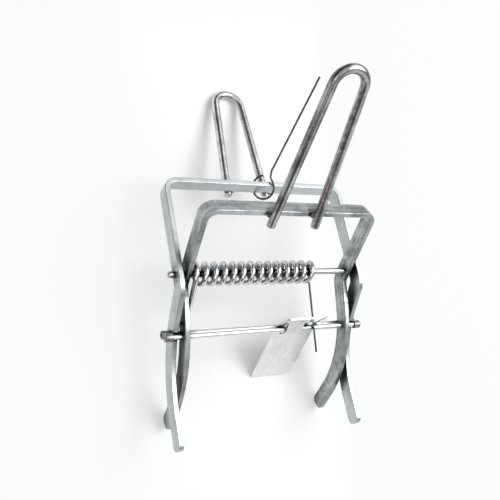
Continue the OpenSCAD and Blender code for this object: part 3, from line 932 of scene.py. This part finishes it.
def spring():
    """One wire: the hooked end, a square bend, the bowed leg, and the coil."""
    start = coil_point(0)
    bend = start - unit(coil_point(0.01) - start) * LEG_BACK
    corner = np.array([COIL_LEFT, *HOOK_PLACE])
    middle = (corner + start) / 2 - np.array([0, LEG_BOW, 0])
    rise = unit(middle - corner)
    tip = np.array([-OUTER_W / 2 + STRIP_T / 2, *HOOK_PLACE])
    hook_end = corner - np.array([SPRING_HOOK_R, 0, 0])
    leg = [tip + (hook_end - tip) * f for f in (0, 0.3, 0.65)]
    leg += [corner + SPRING_HOOK_R * ((sind(t) - 1) * np.array([1.0, 0, 0]) + (1 - cosd(t)) * rise)
            for t in np.linspace(0, 90, 13)]
    low = leg[-1]
    bow = [low, low + (middle - low) * 0.5, middle,
           middle + (bend - middle) * 0.5, middle + (bend - middle) * 0.9]
    leg += [np.array(p) for p in smooth_path(bow, 5)][1:]
    high = leg[-1]
    for i in range(1, 8):
        t = i / 8
        leg.append(high * (1 - t) ** 2 + bend * 2 * t * (1 - t) + start * t * t)
    path = [lie(p) for p in leg]
    path += [lie(coil_point(i / TURN_STEPS)) for i in range(int(COIL_TURNS * TURN_STEPS) + 1)]
    wire = tube("torsion_spring_wire", path, SPRING_D / 2 * MM, 20, first=(0, 1, 0), end_round=0.25 * MM)
    return finish_mesh(wire, 50, False)


spring_steel = metal("spring wire", (0.85, 0.875, 0.885), (0.45, 0.47, 0.485), (0.08, 0.2),
                     streak=0.6, blotch=0.5, pits=0.6, scuffs=0.7,
                     line_scale=(6.0, 120.0), gaps=(0.005, 0.42, 0.8, 0.97))
coil = spring()
dress(coil, spring_steel, "torsion_spring")
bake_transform(coil)

# Trigger plate. Its own view has the inner crossbar's middle at the centre and the flap hanging down.
PLATE_IN = BAR_D / 2 + 0.15
PLATE_OUT = PLATE_IN + SHEET_T
KNUCKLE_IN = BAR_D / 2 + 0.1
KNUCKLE_REACH = 6.2
SLIT = 0.25
SLOT_FLOOR = 0.5
HOLE_D = 2.0
HOLE_IN = 12.0
HOLE_DOWN = 4.6
SHEET_EDGE_R = 0.14
BEND_STEPS = 8
KNUCKLE_STEPS = 28
PLATE_UV = 0.01
# Cutters go this far past the sheet, and two that meet overlap by a hair
PAST_SHEET = 1
HAIR = 0.001
FLAP_FOOT = np.array([-BAR_HALF, -BAR_DROP]) + PLATE_OUT * np.array([sind(FLAP_SLOPE), cosd(FLAP_SLOPE)])
FLAP_LEN = ((REST_DEPTH - FREE - REST_OUT @ FLAP_FOOT)
            / (REST_OUT @ np.array([cosd(FLAP_SLOPE), -sind(FLAP_SLOPE)])))


def plate_place(x, y, z):
    """The plate's own view to the row frame."""
    a = 90 - FLAP_SLOPE
    y2, z2 = y * cosd(a) - z * sind(a), y * sind(a) + z * cosd(a)
    return lie((x, y2 - BAR_HALF, z2 - BAR_DROP))


def around(p, a):
    """A place of the plate's view, turned a degrees."""
    return p[0] * across(a) + p[1] * across(a + 90)


def arc(r, a0, a1, steps):
    return [r * across(a0 + (a1 - a0) * i / steps) for i in range(steps + 1)]


def prism(name, outline, x0, x1, rotate=0.0):
    """An outline in the plate's view, drawn out along X."""
    pts = [around(p, rotate) for p in outline]
    k = len(pts)
    verts = [plate_place(x0, *p) for p in pts] + [plate_place(x1, *p) for p in pts]
    faces = [tuple(range(k)), tuple(range(2 * k - 1, k - 1, -1))]
    flat = [(p[0] * PLATE_UV, p[1] * PLATE_UV) for p in pts]
    uv = [flat, flat[::-1]]
    v0, v1 = x0 * PLATE_UV, x1 * PLATE_UV
    g = 0.0
    for i in range(k):
        j = (i + 1) % k
        faces.append((i, i + k, j + k, j))
        u0 = g * PLATE_UV
        g += float(np.linalg.norm(pts[j] - pts[i]))
        u1 = g * PLATE_UV
        uv.append([(u0, v0), (u0, v1), (u1, v1), (u1, v0)])
    return face_outward(new_object(name, verts, faces, uv))


def corner_cutter(x, side, length, rotate, flip):
    """What rounds one corner of the sheet's end."""
    r, past = PLATE_CORNER, PAST_SHEET
    pts = [(-past, -past), (r, -past)]
    pts += [(r + (r + 0.01) * cosd(a), r + (r + 0.01) * sind(a)) for a in np.linspace(270, 180, 13)]
    pts.append((-past, r))
    verts = []
    for y in (PLATE_IN - past, PLATE_OUT + past):
        for a, b in pts:
            q = around((y, flip * (-length + b)), rotate)
            verts.append(plate_place(x + side * a, *q))
    k = len(pts)
    faces = [tuple(range(k)), tuple(range(2 * k - 1, k - 1, -1))]
    faces += [(i, i + k, (i + 1) % k + k, (i + 1) % k) for i in range(k)]
    return face_outward(new_object("cutter", verts, faces))


def block(x0, x1, z0, z1, rotate=0.0):
    """A cutter through the sheet."""
    y0, y1 = 0, PLATE_OUT + PAST_SHEET
    outline = [np.array(p) for p in ((y0, z0), (y1, z0), (y1, z1), (y0, z1))]
    return prism("cutter", outline, x0, x1, rotate)


def knuckle_strap():
    """The lanced strip: round the bar, and from there straight to the flap and to the flange."""
    mid, mid_r = PLATE_IN + SHEET_T / 2, KNUCKLE_IN + SHEET_T / 2
    meet = math.hypot(mid, KNUCKLE_REACH)
    slope = math.degrees(math.asin(mid_r / meet)) + math.degrees(math.atan2(mid, KNUCKLE_REACH))
    low, high = 180 + slope, 180 - slope + FLANGE_BEND
    foot, head = np.array([mid, -KNUCKLE_REACH]), around((mid, KNUCKLE_REACH), FLANGE_BEND)
    h = SHEET_T / 2
    band = [foot + h * across(low)] + arc(KNUCKLE_IN + SHEET_T, low, high, KNUCKLE_STEPS)
    band += [head + h * across(high), head - h * across(high)]
    band += arc(KNUCKLE_IN, high, low, KNUCKLE_STEPS) + [foot - h * across(low)]
    return prism("strap", band, KNUCKLE_LEFT, KNUCKLE_LEFT + KNUCKLE_W)


def trigger_plate():
    """The bent sheet with round corners, its slits, slot and hole, and the lanced strip joined on."""
    plate_right = PLATE_LEFT + PLATE_W
    outline = [np.array([PLATE_IN, -FLAP_LEN]), np.array([PLATE_OUT, -FLAP_LEN])]
    outline += arc(PLATE_OUT, 0, FLANGE_BEND, BEND_STEPS)
    outline += [around((y, FLANGE_LEN), FLANGE_BEND) for y in (PLATE_OUT, PLATE_IN)]
    outline += arc(PLATE_IN, FLANGE_BEND, 0, BEND_STEPS)
    sheet = prism("trigger_plate_sheet", outline, PLATE_LEFT, plate_right)
    x0, x1 = KNUCKLE_LEFT - SLIT, KNUCKLE_LEFT + KNUCKLE_W + SLIT
    hole_x, hole_z = PLATE_LEFT + HOLE_IN, FLANGE_LEN - HOLE_DOWN
    hole = [plate_place(hole_x, *around((y, hole_z), FLANGE_BEND))
            for y in (PLATE_IN - PAST_SHEET, PLATE_OUT + PAST_SHEET)]
    corners = [corner_cutter(x, side, length, rotate, flip)
               for length, rotate, flip in ((FLAP_LEN, 0, 1), (FLANGE_LEN, FLANGE_BEND, -1))
               for x, side in ((PLATE_LEFT, 1), (plate_right, -1))]
    combine(sheet, corners + [
        block(x0, x1, -KNUCKLE_REACH, HAIR),
        block(x0, x1, -KNUCKLE_REACH, KNUCKLE_REACH, FLANGE_BEND),
        block(SLOT_X - SLOT_W / 2, SLOT_X + SLOT_W / 2, SLOT_FLOOR, FLANGE_LEN + PAST_SHEET, FLANGE_BEND),
        rod_cutter(hole[0], hole[1], HOLE_D / 2 * MM, 32)])
    combine(sheet, [knuckle_strap()], "UNION")
    soft = sheet.modifiers.new("soft", "BEVEL")
    soft.width = SHEET_EDGE_R * MM
    soft.segments = 2
    soft.limit_method = "ANGLE"
    soft.angle_limit = math.radians(40)
    apply_modifiers(sheet)
    return finish_mesh(sheet, 32)


plate_zinc = metal("zinc sheet", (0.88, 0.9, 0.895), (0.68, 0.7, 0.695), (0.24, 0.38),
                   streak=0.5, blotch=0.8, scuffs=1.2,
                   line_scale=(30.0, 30.0), gaps=(0.004, 0.35, 0.75, 0.9))
give(trigger_plate(), plate_zinc, "plate", "trigger_plate")

# Wires
TRIP_EYE_WRAP = 385
TRIP_EYE_STEPS = 48
TRIP_EYE_SHIFT = 0.6
HOOK_SHANK_AT = 65.0
HOOK_EYE_GAP = 30.0
HOOK_EYE_STEPS = 60
HOOK_EASE = 24
HOOK_EASE_OUT = 2.2


def trip_wire():
    """One wire: an eye wound once round the rod, and a straight shank that leaves it with a short bend."""
    eye_r = PIVOT_D / 2 + TURN + TRIP_D / 2
    start = np.array([0.0, 0.0, -eye_r])
    shank = np.array([sind(TRIP_SLANT), 0.0, -cosd(TRIP_SLANT)])
    pts = []
    for i in range(TRIP_EYE_STEPS - 1):
        t = i / TRIP_EYE_STEPS
        a = TRIP_EYE_WRAP * (1 - t)
        pts.append(np.array([-TRIP_EYE_SHIFT * (t - 0.5), -eye_r * sind(a), -eye_r * cosd(a)]))
    for s in (1.4, 2.6, 4.0, 8.0, 16.0, 26.0, 36.0, 42.0, TRIP_REACH - 1, TRIP_REACH):
        pts.append(start + shank * s)
    c, s = cosd(-TRIP_SWING), sind(-TRIP_SWING)
    path = [lie((TRIP_X + x, y * c - z * s, y * s + z * c)) for x, y, z in pts]
    wire = tube("trip_wire_bent", path, TRIP_D / 2 * MM, 14, first=(0, 1, 0), end_round=0.2 * MM)
    return finish_mesh(wire, 60, False)


def hook_wire():
    """One wire: an open eye round the outer bar, running into the straight shank with an easy bend."""
    r = HOOK_EYE_R
    # The eye's angles and radii in its own plane, then the shank's
    polar = []
    for i in range(HOOK_EYE_STEPS + 1):
        wrap = (360 - HOOK_EYE_GAP - HOOK_EASE) * i / HOOK_EYE_STEPS
        polar.append((HOOK_SHANK_AT + HOOK_EYE_GAP + wrap, r))
    for t in (0.25, 0.5, 0.75):
        polar.append((HOOK_SHANK_AT - HOOK_EASE + HOOK_EASE * t * 0.9, r + HOOK_EASE_OUT * t * t))
    for s in (r + 4.2, r + 7, 24, 40, 56, HOOK_LEN - 1, HOOK_LEN):
        polar.append((HOOK_SHANK_AT, s))
    centre = leaned(OUTER_LEAN, 1, HOOK_X, 0, OUTER_RISE - STRIP_T / 2)
    # The plane is upright and turned away from the bar about the vertical through the eye
    yaw = HOOK_TURN - 90
    path = []
    for p in smooth_path([(s * cosd(a), s * sind(a), 0) for a, s in polar], 3):
        path.append(lie(centre + np.array([p.x * cosd(yaw), p.x * sind(yaw), p.y])))
    wire = tube("hook_wire_bent", path, HOOK_D / 2 * MM, 14, end_round=0.2 * MM)
    return finish_mesh(wire, 60, False)


dark_wire = metal("dark wire", (0.17, 0.17, 0.175), (0.05, 0.05, 0.052), (0.25, 0.42),
                  scuffs=0.6, line_scale=(4.0, 80.0))
give(trip_wire(), dark_wire, "trip", "trip_wire")
give(hook_wire(), dark_wire, "hook", "hook_wire")

# Floor: pale, and lit by its own white away from the trap, where no shadow has to show
FLOOR_SIZE = 12
FLOOR_DROP = 0.0002
OWN_WHITE = (0.96, 0.96, 0.96, 1)
# Shares of the own white under the trap and away from it, and the distances along X and Y between
WHITE_UNDER = 0.47
WHITE_AWAY = 0.9
WHITE_FROM_X = (0.056, 0.084)
WHITE_FROM_Y = (0.13, 0.2)
# Where the plate and the outer handle come down to the floor, less of it shows
DEEP_SHADOWS = (("trigger_plate", 0.012, 0.05), ("outer_handle", 0.03, 0.06))
DEEP_SHARE = 0.3


def floor():
    bpy.ops.mesh.primitive_plane_add(size=FLOOR_SIZE, location=(0, 0, -FLOOR_DROP))
    plane = bpy.context.object
    plane.name = "floor"
    m = Surface("pale floor")
    grain = m.noise(m.coords.outputs["Object"], 900.0, 3.0, 0.6)
    colour = m.mix(m.span(grain, 0.3, 0.7), (0.86, 0.865, 0.87), (0.88, 0.885, 0.89))
    m.fill(m.shader, {"Base Color": colour, "Roughness": 0.85})
    where = m.add("ShaderNodeSeparateXYZ", {0: m.coords.outputs["Object"]})
    aside = m.span(m.size(where.outputs["X"]), *WHITE_FROM_X, WHITE_UNDER, WHITE_AWAY)
    along = m.span(m.size(where.outputs["Y"]), *WHITE_FROM_Y, WHITE_UNDER, WHITE_AWAY)
    white = m.math("MAXIMUM", aside, along)
    for node, r0, r1 in DEEP_SHADOWS:
        low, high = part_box(node)
        foot = ((low[0] + high[0]) / 2, (low[1] + high[1]) / 2, 0)
        white = m.math("MULTIPLY", white, m.span(m.near(foot, r0, r1), 0, 1, 1, DEEP_SHARE, False))
    # Only the camera and the metal's reflections see the own white
    ray = m.add("ShaderNodeLightPath")
    seen = m.math("MAXIMUM", ray.outputs["Is Camera Ray"], ray.outputs["Is Glossy Ray"])
    glow = m.add("ShaderNodeEmission", {"Color": OWN_WHITE})
    both = m.add("ShaderNodeMixShader", {
        0: m.math("MULTIPLY", seen, white), 1: m.shader.outputs[0], 2: glow.outputs[0]})
    m.fill(m.end, {0: both.outputs[0]})
    plane.data.materials.append(m.mat)


floor()

# World: a studio that is grey at the horizon, dark above it and pale overhead, with two soft windows
SKY = ((0.0, 0.55), (0.1, 0.5), (0.28, 0.08), (0.62, 0.06), (0.82, 0.95), (1.0, 1.0))
WORLD_STRENGTH = 0.9
PLAIN_BACK = (1.03, 1.03, 1.03)


def window(t, under, direction, lo, hi, value):
    """A soft bright patch round a direction, over what is there."""
    dot = t.vector_math("DOT_PRODUCT", t.coords.outputs["Generated"], Vector(direction).normalized())
    return t.math("MAXIMUM", under, t.span(dot.outputs["Value"], lo, hi, 0.0, value))


def studio():
    world = bpy.data.worlds.new("studio")
    bpy.context.scene.world = world
    world.use_nodes = True
    t = Tree(world.node_tree)
    height = t.add("ShaderNodeSeparateXYZ", {0: t.coords.outputs["Generated"]})
    bands = t.add("ShaderNodeValToRGB", {0: height.outputs["Z"]})
    ramp = bands.color_ramp
    for element, (place, value) in zip(ramp.elements, (SKY[0], SKY[-1])):
        element.position = place
        element.color = (value, value, value, 1)
    for place, value in SKY[1:-1]:
        ramp.elements.new(place).color = (value, value, value, 1)
    sky = window(t, bands.outputs[0], (0.464, 0.577, 0.674), 0.86, 0.96, 1.5)
    sky = window(t, sky, (0.46, -0.87, 0.12), 0.8, 0.97, 0.95)
    straight = t.add("ShaderNodeLightPath").outputs["Is Camera Ray"]
    back = t.add("ShaderNodeBackground", {
        "Color": t.mix(straight, sky, PLAIN_BACK), "Strength": WORLD_STRENGTH})
    t.add("ShaderNodeOutputWorld", {0: back.outputs[0]})


studio()

# Lamps
LIT_POINT = (0, 0, 0.03)


def lamp(name, at, width, height, watts):
    data = bpy.data.lights.new(name, "AREA")
    data.shape = "RECTANGLE"
    data.size = width
    data.size_y = height
    data.energy = watts
    light = bpy.data.objects.new(name, data)
    light.location = at
    light.rotation_mode = "QUATERNION"
    light.rotation_quaternion = (Vector(LIT_POINT) - Vector(at)).to_track_quat("-Z", "Y")
    bpy.context.scene.collection.objects.link(light)


lamp("key", (0.55, 0.15, 0.95), 0.7, 0.7, 9)
lamp("fill", (-0.7, -0.5, 0.8), 0.8, 0.4, 1.5)

bpy.context.scene.view_settings.view_transform = "Standard"
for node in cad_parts.values():
    if not node.hide_render:
        raise RuntimeError("a CAD node still shows: " + node.name)
